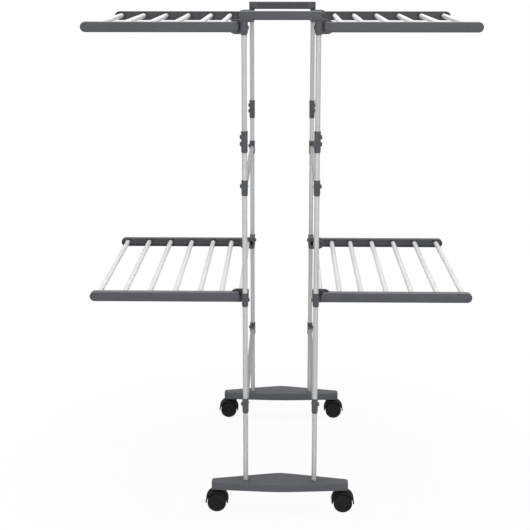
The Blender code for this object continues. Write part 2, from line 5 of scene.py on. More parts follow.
import bmesh
import bpy
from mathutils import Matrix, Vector


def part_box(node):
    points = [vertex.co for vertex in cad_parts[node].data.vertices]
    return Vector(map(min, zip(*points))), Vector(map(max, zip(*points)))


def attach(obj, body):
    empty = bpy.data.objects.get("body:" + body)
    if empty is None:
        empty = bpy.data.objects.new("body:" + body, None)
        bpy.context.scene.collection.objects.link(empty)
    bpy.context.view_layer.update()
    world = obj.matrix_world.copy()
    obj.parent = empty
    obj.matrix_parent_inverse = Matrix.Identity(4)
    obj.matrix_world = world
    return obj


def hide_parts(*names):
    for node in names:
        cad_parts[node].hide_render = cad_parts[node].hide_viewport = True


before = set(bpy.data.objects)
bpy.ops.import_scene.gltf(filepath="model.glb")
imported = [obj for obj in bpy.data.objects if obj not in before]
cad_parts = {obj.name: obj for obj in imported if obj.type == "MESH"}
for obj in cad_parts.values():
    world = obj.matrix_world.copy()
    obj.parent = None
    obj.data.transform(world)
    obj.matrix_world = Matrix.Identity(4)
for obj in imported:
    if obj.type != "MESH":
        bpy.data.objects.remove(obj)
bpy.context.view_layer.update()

# Sizes of the rack, as its solids have them
POLE_HALF = 0.073
FRAME_HALF = 0.270
POLE_RADIUS = 0.00525
ROD_RADIUS = 0.0055
STRETCHER_RADIUS = 0.0050
FIT = 0.0003

# Bases
BASE_LENGTH = 0.292
BASE_MID_DEPTH = 0.060
BASE_END_DEPTH = 0.020
BASE_BOTTOM = 0.0480
BASE_THICKNESS = 0.0184
BASE_ARCH = 0.0048
BASE_APEX_ROUND = 0.014
BASE_END_ROUND = 0.005
BASE_TOP_ROUND = 0.0026
BASE_FOOT_ROUND = 0.0007
BASE_WALL = 0.0024
BASE_HOLLOW = 0.0145
BASE_RIB = 0.0018
BASE_RIB_SPACING = 0.030
BASE_RIB_SET_BACK = 0.0016
BASE_CROSS_RIBS = 4
BASE_APEX_SHARES = (0.4, 0.8, 1.6)
BASE_LIP_WIDTH = 0.0009
BASE_LIP_RISE = 0.0003
SWIVEL_X = 0.122
STEM_RADIUS = 0.0040
STEM_SHARE = 0.8

# Castors
WHEEL_RADIUS = 0.020
WHEEL_WIDTH = 0.0126
WHEEL_RIM = 0.0034
WHEEL_DISH = 0.0016
TREAD_ROUND = 0.0018
TREAD_GROOVE = 0.0005
TREAD_GROOVE_WIDTH = 0.0009
TREAD_GROOVE_SHARES = (0.34, 0.62)
TREAD_EASE_SHARE = 0.3
WHEEL_HUB_RADIUS = 0.0062
POCKET_EDGE = 0.0008
POCKET_DEPTH = 0.0010
WHEEL_SPOKES = 6
POCKET_SHARE = 0.80
AXLE_RADIUS = 0.0030
CAP_RADIUS = 0.0040
CASTOR_TRAIL = 0.013
HOOD_REACH = 0.0243
HOOD_GAP = 0.0015
HOOD_TOP = 0.0446
HOOD_SHOULDER_ROUND = 0.0018
HOOD_EDGE = 0.0005
HOOD_OVERHANG = 0.0006
WEB_THICKNESS = 0.0066
WEB_RADIUS = 0.0105
COLLAR_RADIUS = 0.0070
COLLAR_BOTTOM = 0.0300

# Sleeves on the poles
SLEEVE_RADIUS = 0.0067
SLEEVE_TAPER = 0.0007
SLEEVE_TAPER_LENGTH = 0.004
SLEEVE_EDGE = 0.0005
COUPLING_LENGTH = 0.0436
COUPLING_SCREW_SPACING = 0.0142
COUPLING_SCREW_RISE = 0.0028
BELT_WIDTH = 0.0022
BELT_RISE = 0.0004
BELT_FLAT_SHARE = 0.5
TEE_BELT_FLAT_SHARE = 0.4
TEE_LENGTH = 0.0324
TEE_SCREW_RISE = 0.0036
TEE_REACH = 0.020
BOSS_RADIUS = 0.0044
BOSS_REACH = 0.0028
BOSS_SHOULDER = 0.0020
BOSS_ROUND = 0.0010
BOSS_ROUND_SHARES = (0.3, 0.8)
BOSS_EDGE = 0.0009
BOSS_LIP_SHARE = 0.4
BOSS_RECESS = 0.0012
SCREW_RADIUS = 0.0024
SCREW_HEIGHT = 0.00096
SCREW_DOME_SHARES = ((1, 0.375), (0.86, 0.6875), (0.5, 0.9375), (0, 1))
SLOT_WIDTH = 0.0007
SLOT_REACH = 0.0015
SLOT_DEPTH = 0.0008

# Brackets
BRACKET_LENGTH = 0.029
PIVOT_OUT = 0.0230
PLATE_END_OUT = 0.0180
PLATE_START = 0.0319
PLATE_END = 0.0360
PLATE_CORNER = 0.004
PLATE_EDGE = 0.0006
WEB_OUT = 0.0062
WEB_IN = 0.0050
WEB_MARGIN = 0.0012
WEB_FRAME = 0.0016
WEB_RECESS = 0.0022
PIN_RADIUS = 0.0048
PIN_LENGTH = 0.0105
RING_RADIUS = 0.0080
RING_HEIGHT = 0.0020
RING_HOLE_RADIUS = 0.0036
RING_HOLE_DEPTH = 0.0050
ROD_SOCKET_OUT = 0.0110
ROD_SOCKET_HEIGHT = 0.0046
ROD_SOCKET_WALL = 0.0018
RELIEF_OUT = 0.0035
RELIEF_RADIUS = 0.0048
RELIEF_DEPTH = 0.012
RELIEF_WALL = 0.0012

# Tubes, in shares of their radius
TUBE_WALL_SHARE = 0.2
TUBE_HOLLOW_SHARE = 2
TUBE_EDGE_SHARE = 0.05

# Top bars
TOP_BAR_LENGTH = 0.159
TOP_BAR_HEIGHT = 0.0172
TOP_BAR_DEPTH = 0.0170
TOP_BAR_WALL = 0.0024
TOP_BAR_RIB = 0.0016
TOP_BAR_GROOVES = 3
TOP_BAR_GROOVE_DEPTH = 0.0024
TOP_BAR_GROOVE_EDGE = 0.00025
TOP_BAR_CORNER = 0.0045
TOP_BAR_EDGE = 0.0014
TOP_BAR_BLOCK = 0.020
RACK_HEIGHT = 1.054

# Trays
TRAY_REACH = 0.398
ARM_START = 0.0167
ARM_HEIGHT = 0.0205
ARM_THICKNESS = 0.0146
ARM_HEEL_RADIUS = 0.0128
ARM_WALL = 0.0022
ARM_FLOOR = 0.0080
ARM_EDGE = 0.0021
ARM_RIM_EDGE = 0.0005
ARM_RIB = 0.0014
ARM_RIB_RISE = 0.0016
ARM_HUB_RADIUS = 0.0077
PIN_BORE_RADIUS = 0.0052
ROD_COUNT = 6
OUTER_ROD_INSET = 0.016
INNER_ROD_OUT = 0.0285
INNER_GAP_SHARE = 0.8585
ROD_BOSS_WALL = 0.0018
ROD_BOSS_EDGE = 0.0004
ROD_END_IN = 0.0066

# Fineness of the shapes
ROUND_SIDES = 48
SMALL_SIDES = 28
WHEEL_SIDES = 96
BASE_STATIONS = 12
ARC_STEPS = 8
EASE_STEPS = 2
ROUND_STEPS = 4
CORNER_STEPS = 5
TOP_BAR_CORNER_STEPS = 6
HALF_TURN_STEPS = 20
ARM_TIP_STEPS = 18
ARM_HEEL_STEPS = 14
SMOOTH_ANGLE = math.radians(32)
EASE_ANGLE = math.radians(40)
SHARP_ANGLE = math.radians(57)
PLACE_DIGITS = 5
NEAR = 0.00002
SPECK = 0.0001
OVERRUN = 0.002
STEP_DOWN = 0.0002

SIDES = {"left": -1, "right": 1}
ENDS = {"front": 1, "rear": -1}
TIERS = ("upper", "lower")
ORIGIN = (0, 0, 0)
PIVOT_X = POLE_HALF + PIVOT_OUT
TOP_BAR_BOTTOM = RACK_HEIGHT - TOP_BAR_HEIGHT
COUPLING_SCREW_RISES = [COUPLING_SCREW_RISE + step * COUPLING_SCREW_SPACING / 2 for step in (-1, 1)]


def middle(node):
    """The middle of a solid at rest."""
    low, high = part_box(node)
    return (low + high) / 2


# The workbench: each piece is opened, shaped and closed again

def deselect_all():
    if bpy.context.mode != "OBJECT":
        bpy.ops.object.mode_set(mode="OBJECT")
    bpy.ops.object.select_all(action="DESELECT")


def take(piece):
    """Makes one piece the only one selected."""
    deselect_all()
    piece.select_set(True)
    bpy.context.view_layer.objects.active = piece


def open_piece(name):
    """An empty piece at the origin, open for shaping."""
    piece = bpy.data.objects.new(name, bpy.data.meshes.new(name))
    bpy.context.scene.collection.objects.link(piece)
    take(piece)
    bpy.ops.object.mode_set(mode="EDIT")
    return piece


def set_aside():
    """Hides what is finished inside the open piece, so that the next form is shaped alone."""
    bpy.ops.mesh.select_all(action="SELECT")
    bpy.ops.mesh.hide(unselected=False)


def pick(kind, test):
    """Selects only the shown points, edges or faces that pass the test."""
    bpy.ops.mesh.select_mode(type=kind)
    bpy.ops.mesh.select_all(action="DESELECT")
    shape = bmesh.from_edit_mesh(bpy.context.object.data)
    parts = {"VERT": shape.verts, "EDGE": shape.edges, "FACE": shape.faces}[kind]
    for part in parts:
        if not part.hide and test(part):
            part.select_set(True)
    bmesh.update_edit_mesh(bpy.context.object.data)


def pick_faces_at(axis, place):
    """Selects the flat faces that lie at a place on the X, Y or Z axis (0, 1 or 2)."""
    def lies_there(face):
        return all(abs(vertex.co[axis] - place) < NEAR for vertex in face.verts)
    pick("FACE", lies_there)


def pick_edges_at(axis, place):
    pick("EDGE", lambda edge: all(abs(vertex.co[axis] - place) < NEAR for vertex in edge.verts))


def push(x, y, z):
    """Extrudes what is selected."""
    bpy.ops.mesh.extrude_region_move(TRANSFORM_OT_translate={"value": (x, y, z)})


def soften(width, steps):
    """Rounds the selected edges."""
    bpy.ops.mesh.bevel(offset=width, segments=steps, affect="EDGES", profile=0.5)


def chain(points, closed):
    """A row of edges drawn from point to point, left selected."""
    points = [Vector(point) for point in points]
    bpy.ops.mesh.select_mode(type="VERT")
    bpy.ops.mesh.primitive_plane_add(size=SPECK, location=points[0])
    bpy.ops.mesh.merge(type="CENTER")
    for here, after in zip(points, points[1:]):
        bpy.ops.mesh.extrude_vertices_move(TRANSFORM_OT_translate={"value": after - here})
    if closed:
        ends = (points[0], points[-1])
        pick("VERT", lambda vertex: any((vertex.co - end).length < NEAR for end in ends))
        bpy.ops.mesh.edge_face_add()
    bpy.ops.mesh.select_all(action="SELECT")


def outline(points):
    """A flat face drawn corner by corner, left selected."""
    chain(points, closed=True)
    bpy.ops.mesh.edge_face_add()


def turned(profile, centre, axis, steps):
    """A profile of radius and height spun a whole turn. It closes on the axis or on itself."""
    centre, axis = Vector(centre), Vector(axis)
    across = Vector((0, 0, 1)) if axis.z == 0 else Vector((1, 0, 0))
    points = [centre + across * radius + axis * height for radius, height in profile]
    chain(points, closed=profile[0][0] > 0)
    bpy.ops.mesh.spin(steps=steps, angle=math.tau, center=centre, axis=axis)
    bpy.ops.mesh.select_all(action="SELECT")
    bpy.ops.mesh.remove_doubles(threshold=NEAR / 2)
    bpy.ops.mesh.normals_make_consistent(inside=False)


def bar(start, end, radius, sides=ROUND_SIDES):
    """A round bar between two points."""
    start, end = Vector(start), Vector(end)
    along = end - start
    bpy.ops.mesh.primitive_cylinder_add(
        vertices=sides, radius=radius, depth=along.length, location=(start + end) / 2,
        rotation=along.to_track_quat("Z", "Y").to_euler())


def block(low, high):
    """A box between its lowest and highest corners."""
    low, high = Vector(low), Vector(high)
    centre = (low + high) / 2
    bpy.ops.mesh.primitive_cube_add(size=1, location=centre)
    bpy.ops.transform.resize(value=high - low, center_override=centre)


def arc(centre, radius, first, last, steps=ARC_STEPS):
    """Points along an arc between two angles in degrees. Two radii make it part of an ellipse."""
    across, up = radius if isinstance(radius, tuple) else (radius, radius)
    points = []
    for step in range(steps + 1):
        angle = math.radians(first + (last - first) * step / steps)
        points.append((centre[0] + across * math.cos(angle), centre[1] + up * math.sin(angle)))
    return points


def in_xz(points, y):
    return [(x, y, z) for x, z in points]


def close_piece(finish, edge=0):
    """Ends the shaping: faces out, hard edges eased by a small bevel, smooth shading and a finish."""
    piece = bpy.context.object
    bpy.ops.mesh.reveal(select=False)
    bpy.ops.mesh.select_all(action="SELECT")
    bpy.ops.mesh.normals_make_consistent(inside=False)
    bpy.ops.object.mode_set(mode="OBJECT")
    dress(piece, finish, edge)
    return piece


def dress(piece, finish, edge=0):
    """Eases a piece's hard edges, shades it smooth and gives it a finish, where it has one."""
    take(piece)
    if edge:
        ease_edges(piece, edge)
    bpy.ops.object.shade_smooth_by_angle(angle=SMOOTH_ANGLE)
    if finish:
        piece.data.materials.append(finish)


def ease_edges(piece, width):
    bpy.ops.object.modifier_add(type="BEVEL")
    bevel = piece.modifiers[-1]
    bevel.width = width
    bevel.segments = EASE_STEPS
    bevel.limit_method = "ANGLE"
    bevel.angle_limit = EASE_ANGLE
    bevel.use_clamp_overlap = True
    bpy.ops.object.modifier_apply(modifier=bevel.name)


def cut_away(piece, cutter):
    """Takes one closed form out of another and throws the cutter away."""
    take(piece)
    bpy.ops.object.modifier_add(type="BOOLEAN")
    knife = piece.modifiers[-1]
    knife.operation = "DIFFERENCE"
    knife.object = cutter
    bpy.ops.object.modifier_apply(modifier=knife.name)
    bpy.data.objects.remove(cutter)


def join(pieces):
    """Several loose pieces made one."""
    take(pieces[0])
    for piece in pieces:
        piece.select_set(True)
    bpy.ops.object.join()
    return pieces[0]


def copy_to(master, name, place, mirror=(1, 1, 1)):
    """A copy of a finished piece at its place, mirrored where the rack is, with its own mesh."""
    take(master)
    bpy.ops.object.duplicate(linked=False)
    copy = bpy.context.object
    copy.name = name
    copy.data.name = name
    bpy.ops.transform.resize(value=mirror, center_override=ORIGIN)
    bpy.ops.transform.translate(value=place)
    bpy.ops.object.transform_apply(location=True, rotation=True, scale=True)
    if mirror[0] * mirror[1] * mirror[2] < 0:
        bpy.ops.object.mode_set(mode="EDIT")
        bpy.ops.mesh.select_all(action="SELECT")
        bpy.ops.mesh.normals_make_consistent(inside=False)
        bpy.ops.object.mode_set(mode="OBJECT")
    return copy


def fit(piece, body, node):
    """Hangs a finished piece on its body, in place of the solid that it stands for."""
    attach(piece, body)
    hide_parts(node)


# Finishes

WHITE_RAYS = ("Is Camera Ray", "Is Glossy Ray", "Is Transmission Ray")
DUST = (0.020, 0.020, 0.020, 1)


class Value:
    """An output of a node. Sums on it add Math nodes."""

    def __init__(self, nodes, socket):
        self.nodes = nodes
        self.socket = socket

    def _math(self, operation, first, second):
        return self.nodes.add("ShaderNodeMath", {"operation": operation}, {0: first, 1: second})

    def __add__(self, other):
        return self._math("ADD", self, other)

    def __radd__(self, other):
        return self._math("ADD", other, self)

    def __sub__(self, other):
        return self._math("SUBTRACT", self, other)

    def __rsub__(self, other):
        return self._math("SUBTRACT", other, self)

    def __mul__(self, other):
        return self._math("MULTIPLY", self, other)

    def __rmul__(self, other):
        return self._math("MULTIPLY", other, self)


class Nodes:
    """The nodes of a material or of the world, added one by one."""

    def __init__(self, owner):
        owner.use_nodes = True
        self.tree = owner.node_tree

    def add(self, kind, settings, inputs, output=0):
        """Adds a node: its settings first, then the values or links of its sockets."""
        node = self.tree.nodes.new(kind)
        for name, value in settings.items():
            if name == "stops":
                for element, (place, level) in zip(node.color_ramp.elements, value):
                    element.position = place
                    element.color = (level, level, level, 1)
            else:
                setattr(node, name, value)
        for name, value in inputs.items():
            self.feed(node, name, value)
        return Value(self, node.outputs[output])

    def feed(self, node, name, value):
        """Sets a socket to a plain value, or links a Value to it."""
        if isinstance(value, Value):
            self.tree.links.new(value.socket, node.inputs[name])
        else:
            node.inputs[name].default_value = value

    def seen_white(self, plain, white):
        """White to the rays that show the background, and plain to the others."""
        seen = self.add("ShaderNodeLightPath", {}, {}, WHITE_RAYS[0])
        for ray in WHITE_RAYS[1:]:
            other = self.add("ShaderNodeLightPath", {}, {}, ray)
            seen = self.add("ShaderNodeMath", {"operation": "MAXIMUM"}, {0: seen, 1: other})
        return self.add("ShaderNodeMixShader", {}, {0: seen, 1: plain, 2: white})


class Finish(Nodes):
    """A material on a Principled shader."""

    def __init__(self, name):
        self.material = bpy.data.materials.new(name)
        super().__init__(self.material)
        self.shader = self.tree.nodes["Principled BSDF"]
        self.place = self.add("ShaderNodeTexCoord", {}, {}, "Object")

    def surface(self, **inputs):
        """Feeds the shader's own sockets, named with _ for each space."""
        for name, value in inputs.items():
            self.feed(self.shader, name.replace("_", " "), value)

    def noise(self, scale, detail, stretch=(1, 1, 1), lift=0.0):
        """Noise from 0 to 1, as fine as its scale, its stretch along X, Y and Z, and its detail say."""
        place = self.add("ShaderNodeMapping", {}, {
            "Vector": self.place, "Scale": stretch, "Location": (lift, lift, lift)})
        return self.add("ShaderNodeTexNoise", {}, {"Vector": place, "Scale": scale, "Detail": detail})

    def ramp(self, value, low, high):
        """From 0 at the low level to 1 at the high one."""
        return self.add("ShaderNodeValToRGB", {"stops": ((low, 0), (high, 1))}, {"Fac": value})

    def tint(self, amount, first, second):
        """A colour between two, by an amount from 0 to 1."""
        return self.add("ShaderNodeMix", {"data_type": "RGBA"}, {
            "Factor": amount, 6: first, 7: second}, 2)

    def bumps(self, height, distance, strength):
        return self.add("ShaderNodeBump", {}, {
            "Height": height, "Distance": distance, "Strength": strength}, "Normal")


def shade(colour, share=1.0):
    """A colour with its brightness scaled."""
    return (*[level * share for level in colour], 1)


def moulded_plastic(name, colour, roughness, worn, sheen):
    """Plastic with a spark-eroded grain, faint flow clouds, and fine rubbed marks."""
    finish = Finish(name)
    grain = finish.noise(scale=1300, detail=2)
    pits = finish.add("ShaderNodeTexVoronoi", {}, {"Vector": finish.place, "Scale": 800}, "Distance")
    clouds = finish.ramp(finish.noise(scale=16, detail=4), low=0.35, high=0.68)
    marks = finish.noise(scale=55, detail=6, stretch=(1, 3, 6), lift=3.1)
    rubs = finish.ramp(marks, low=0.60, high=0.74) * worn
    body = finish.tint(clouds, shade(colour, 0.95), shade(colour, 1.05))
    finish.surface(
        Base_Color=finish.tint(rubs, body, shade(colour, 1.16)),
        Roughness=roughness + 0.08 * (grain - 0.5) + 0.05 * clouds - 0.10 * rubs,
        Normal=finish.bumps(0.7 * grain + 0.3 * (1 - pits), distance=0.00005, strength=0.30),
        Specular_IOR_Level=sheen)
    return finish.material


def drawn_tube(name, colour, roughness, along, shine, sheen):
    """Silver-finished tube with fine lines left along its length, and a little clouding."""
    finish = Finish(name)
    stretch = [0.02 if step == along else 1 for step in range(3)]
    lines = finish.noise(scale=900, detail=2, stretch=stretch)
    clouds = finish.ramp(finish.noise(scale=9, detail=3, lift=1.7), low=0.36, high=0.66)
    handled = finish.ramp(finish.noise(scale=38, detail=4, lift=5.3), low=0.56, high=0.76)
    drawn = finish.tint(0.5 * lines + 0.4 * clouds, shade(colour, 0.94), shade(colour, 1.06))
    finish.surface(
        Base_Color=finish.tint(0.3 * handled, drawn, shade(colour, 0.88)),
        Roughness=roughness + 0.08 * (lines - 0.5) + 0.04 * clouds + 0.05 * handled,
        Metallic=shine,
        Normal=finish.bumps(lines, distance=0.00002, strength=0.04),
        Specular_IOR_Level=sheen)
    return finish.material


def coated_rod(name, colour, roughness, sheen):
    """Pale coated rod with slight orange peel, and faint rubbing from hung clothes."""
    finish = Finish(name)
    peel = finish.noise(scale=210, detail=1, stretch=(1, 0.6, 1))
    rubbed = finish.noise(scale=24, detail=4, stretch=(1, 0.35, 1), lift=2.2)
    rubbing = finish.ramp(rubbed, low=0.50, high=0.78)
    finish.surface(
        Base_Color=finish.tint(0.7 * rubbing + 0.3 * peel, shade(colour), shade(colour, 0.90)),
        Roughness=roughness + 0.08 * rubbing + 0.04 * (peel - 0.5),
        Normal=finish.bumps(peel, distance=0.00003, strength=0.05),
        Specular_IOR_Level=sheen)
    return finish.material


def wheel_plastic(name, colour, roughness, sheen):
    """Black wheel: a fine grain everywhere and greyed dust in patches."""
    finish = Finish(name)
    grain = finish.noise(scale=1100, detail=2)
    dust = finish.ramp(finish.noise(scale=90, detail=5, lift=4.4), low=0.46, high=0.72)
    finish.surface(
        Base_Color=finish.tint(0.5 * dust, shade(colour), DUST),
        Roughness=roughness + 0.10 * dust + 0.06 * (grain - 0.5),
        Normal=finish.bumps(0.8 * grain + 0.2 * dust, distance=0.00005, strength=0.30),
        Specular_IOR_Level=sheen)
    return finish.material


def screw_steel(name, colour):
    """Dark zinc-coated steel with a mottled bloom."""
    finish = Finish(name)
    bloom = finish.ramp(finish.noise(scale=700, detail=3), low=0.35, high=0.70)
    finish.surface(
        Base_Color=finish.tint(bloom, shade(colour, 0.75), shade(colour, 1.25)),
        Roughness=0.34 + 0.16 * bloom,
        Metallic=1.0,
        Normal=finish.bumps(bloom, distance=0.00002, strength=0.20))
    return finish.material


base_grey = moulded_plastic(
    "base_plastic", (0.070, 0.072, 0.079), roughness=0.54, worn=0.40, sheen=0.34)
fitting_grey = moulded_plastic(
    "fitting_plastic", (0.047, 0.049, 0.055), roughness=0.34, worn=0.30, sheen=0.50)
arm_grey = moulded_plastic(
    "arm_plastic", (0.051, 0.053, 0.060), roughness=0.32, worn=0.40, sheen=0.50)
castor_black = moulded_plastic(
    "castor_plastic", (0.0125, 0.0125, 0.0125), roughness=0.66, worn=0.25, sheen=0.05)
wheel_black = wheel_plastic(
    "wheel_plastic", (0.0085, 0.0085, 0.0085), roughness=0.52, sheen=0.14)
pole_silver = drawn_tube(
    "pole_tube", (0.43, 0.44, 0.435), roughness=0.32, along=2, shine=0.12, sheen=0.30)
# The cross tubes get the poles' silver made darker: painted shade, for the shade they sit in inside the
# rack
painted_shade_cross_silver = drawn_tube(
    "cross_tube", (0.26, 0.265, 0.265), roughness=0.40, along=1, shine=0.12, sheen=0.25)
rod_white = coated_rod("tray_rod", (0.69, 0.695, 0.69), roughness=0.36, sheen=0.30)
steel = screw_steel("screw_steel", (0.26, 0.26, 0.27))


# Bases

def base_half_depth(x):
    """Half the depth at a place along the base: straight tapers that meet in a round middle."""
    half_length = BASE_LENGTH / 2
    run = math.hypot(half_length, BASE_APEX_ROUND) - BASE_APEX_ROUND
    fall = (BASE_MID_DEPTH - BASE_END_DEPTH) / 2 / run
    return BASE_MID_DEPTH / 2 - fall * (math.hypot(x, BASE_APEX_ROUND) - BASE_APEX_ROUND)


def base_rise(x):
    return BASE_ARCH * (1 - abs(x) / (BASE_LENGTH / 2))


def base_outline():
    """The base seen from above, anticlockwise."""
    half = BASE_LENGTH / 2 - BASE_END_ROUND
    stations = {half * step / BASE_STATIONS for step in range(-BASE_STATIONS, BASE_STATIONS + 1)}
    stations |= {side * share * BASE_APEX_ROUND for side in (-1, 1) for share in BASE_APEX_SHARES}
    stations = sorted(stations)
    corner = base_half_depth(half) - BASE_END_ROUND
    edge = [(x, -base_half_depth(x)) for x in stations[:-1]]
    edge += arc((half, -corner), BASE_END_ROUND, -90, 0, ROUND_STEPS)
    edge += arc((half, corner), BASE_END_ROUND, 0, 90, ROUND_STEPS)
    edge += [(x, base_half_depth(x)) for x in reversed(stations[1:-1])]
    edge += arc((-half, corner), BASE_END_ROUND, 90, 180, ROUND_STEPS)
    edge += arc((-half, -corner), BASE_END_ROUND, 180, 270, ROUND_STEPS)[:-1]
    return edge


def arch_up():
    """Lifts the whole piece towards its middle, place by place along its length."""
    bpy.ops.mesh.reveal(select=False)
    shape = bmesh.from_edit_mesh(bpy.context.object.data)
    places = sorted({round(vertex.co.x, PLACE_DIGITS) for vertex in shape.verts})
    for place in places:
        pick("VERT", lambda vertex: round(vertex.co.x, PLACE_DIGITS) == place)
        bpy.ops.transform.translate(value=(0, 0, base_rise(place)))


def make_base():
    top = BASE_BOTTOM + BASE_THICKNESS
    rib_foot = BASE_BOTTOM + BASE_RIB_SET_BACK
    rib_top = BASE_BOTTOM + BASE_HOLLOW + BASE_WALL / 2
    open_piece("base")
    outline([(x, y, BASE_BOTTOM) for x, y in base_outline()])
    push(0, 0, BASE_THICKNESS)
    pick_faces_at(2, BASE_BOTTOM)
    bpy.ops.mesh.inset(thickness=BASE_WALL)
    push(0, 0, BASE_HOLLOW)
    pick_edges_at(2, top)
    soften(BASE_TOP_ROUND, ROUND_STEPS)
    pick("EDGE", lambda edge: edge.is_manifold and edge.calc_face_angle(0) > SHARP_ANGLE and all(
        abs(vertex.co.z - BASE_BOTTOM) < NEAR for vertex in edge.verts))
    soften(BASE_FOOT_ROUND, EASE_STEPS)
    for share in (-1, 0, 1):
        bpy.ops.mesh.select_all(action="SELECT")
        bpy.ops.mesh.bisect(plane_co=(share * BASE_APEX_ROUND, 0, 0), plane_no=(1, 0, 0))
    set_aside()

    inner = BASE_LENGTH / 2 - BASE_WALL
    block((-inner, -BASE_RIB / 2, rib_foot), (inner, BASE_RIB / 2, rib_top))
    bpy.ops.mesh.bisect(plane_co=ORIGIN, plane_no=(1, 0, 0))
    set_aside()
    for step in range(-BASE_CROSS_RIBS, BASE_CROSS_RIBS + 1):
        x = step * BASE_RIB_SPACING
        reach = base_half_depth(x) - BASE_WALL / 2
        block((x - BASE_RIB / 2, -reach, rib_foot + STEP_DOWN), (x + BASE_RIB / 2, reach, rib_top))
        set_aside()
    for side in SIDES.values():
        bore = POLE_RADIUS + FIT / 2
        lip_top = top + BASE_LIP_RISE
        turned([(bore, rib_top), (bore + 2 * BASE_LIP_WIDTH, rib_top), (bore + BASE_LIP_WIDTH, lip_top),
                (bore + BASE_LIP_RISE, lip_top), (bore, lip_top - BASE_LIP_RISE)],
               (side * POLE_HALF, 0, 0), (0, 0, 1), ROUND_SIDES)
        set_aside()
        bore = STEM_RADIUS + FIT
        turned([(bore, BASE_BOTTOM), (COLLAR_RADIUS, BASE_BOTTOM), (COLLAR_RADIUS, rib_top),
                (bore, rib_top)], (side * SWIVEL_X, 0, 0), (0, 0, 1), SMALL_SIDES)
        set_aside()
    arch_up()
    return close_piece(base_grey)


# Sleeves, about the right front pole at x = y = 0

def add_sleeve(length):
    """A sleeve about the pole with eased ends and a tapered foot."""
    half = length / 2
    bore = POLE_RADIUS + FIT / 2
    foot = SLEEVE_RADIUS - SLEEVE_TAPER
    turned([(bore, -half), (foot - SLEEVE_EDGE, -half), (foot, -half + SLEEVE_EDGE),
            (SLEEVE_RADIUS, -half + SLEEVE_TAPER_LENGTH), (SLEEVE_RADIUS, half - SLEEVE_EDGE),
            (SLEEVE_RADIUS - SLEEVE_EDGE, half), (bore, half)], ORIGIN, (0, 0, 1), ROUND_SIDES)
    set_aside()


def add_belt(centre, axis, flat_share):
    """A raised ring round a sleeve, flat in the middle and sloped on both sides."""
    half, out = BELT_WIDTH / 2, SLEEVE_RADIUS + BELT_RISE
    flat = half * flat_share
    turned([(POLE_RADIUS, -half), (SLEEVE_RADIUS, -half), (out, -flat), (out, flat),
            (SLEEVE_RADIUS, half), (POLE_RADIUS, half)], centre, axis, ROUND_SIDES)
    set_aside()


def add_screw_boss(direction, height):
    """The raised seat of a screw on one side of a sleeve."""
    tip = SLEEVE_RADIUS + BOSS_REACH
    rim = BOSS_RADIUS - BOSS_ROUND
    across, down = (BOSS_ROUND * share for share in BOSS_ROUND_SHARES)
    lip = BOSS_EDGE * BOSS_LIP_SHARE
    turned([(0, 0), (BOSS_RADIUS, 0), (BOSS_RADIUS, tip - BOSS_SHOULDER),
            (BOSS_RADIUS - across, tip - down), (rim, tip), (rim - lip, tip),
            (rim - BOSS_EDGE, tip - lip), (rim - BOSS_EDGE, tip - BOSS_RECESS),
            (0, tip - BOSS_RECESS)], (0, 0, height), (direction, 0, 0), SMALL_SIDES)
    set_aside()


def make_coupling():
    open_piece("coupling")
    add_sleeve(COUPLING_LENGTH)
    for rise in COUPLING_SCREW_RISES:
        add_screw_boss(1, rise)
    add_belt((0, 0, COUPLING_LENGTH / 2 - BELT_WIDTH), (0, 0, 1), BELT_FLAT_SHARE)
    return close_piece(fitting_grey)


def make_tee():
    open_piece("tee")
    add_sleeve(TEE_LENGTH)
    bore = POLE_RADIUS + FIT / 2
    turned([(0, 0), (SLEEVE_RADIUS, 0), (SLEEVE_RADIUS, TEE_REACH - SLEEVE_EDGE),
            (SLEEVE_RADIUS - SLEEVE_EDGE, TEE_REACH), (bore, TEE_REACH), (bore, POLE_RADIUS),
            (0, POLE_RADIUS)], ORIGIN, (0, 1, 0), ROUND_SIDES)
    set_aside()
    belt_middle = TEE_REACH - BELT_WIDTH - BELT_WIDTH / 2
    add_belt((0, belt_middle, 0), (0, 1, 0), TEE_BELT_FLAT_SHARE)
    add_screw_boss(1, TEE_SCREW_RISE)
    return close_piece(fitting_grey)


def make_bracket_plate():
    """The plate of a bracket, with the pivot's hole and the relief beside the fixed rod."""
    half = BRACKET_LENGTH / 2
    shape = arc((PLATE_END_OUT, 0), half, -90, 90, HALF_TURN_STEPS)
    corner = PLATE_CORNER - SLEEVE_RADIUS
    shape += arc((corner, half - PLATE_CORNER), PLATE_CORNER, 90, 180, CORNER_STEPS)
    shape += arc((corner, PLATE_CORNER - half), PLATE_CORNER, 180, 270, CORNER_STEPS)
    plate = open_piece("plate")
    outline(in_xz(shape, PLATE_START))
    push(0, PLATE_END - PLATE_START, 0)
    close_piece(None)
    for out, radius, depth in ((PIVOT_OUT, RING_HOLE_RADIUS, RING_HOLE_DEPTH - RING_HEIGHT),
                               (RELIEF_OUT, RELIEF_RADIUS, RELIEF_DEPTH)):
        cutter = open_piece("cutter")
        bar((out, PLATE_END - depth, 0), (out, PLATE_END + OVERRUN, 0), radius, SMALL_SIDES)
        close_piece(None)
        cut_away(plate, cutter)
    dress(plate, fitting_grey, PLATE_EDGE)
    return plate


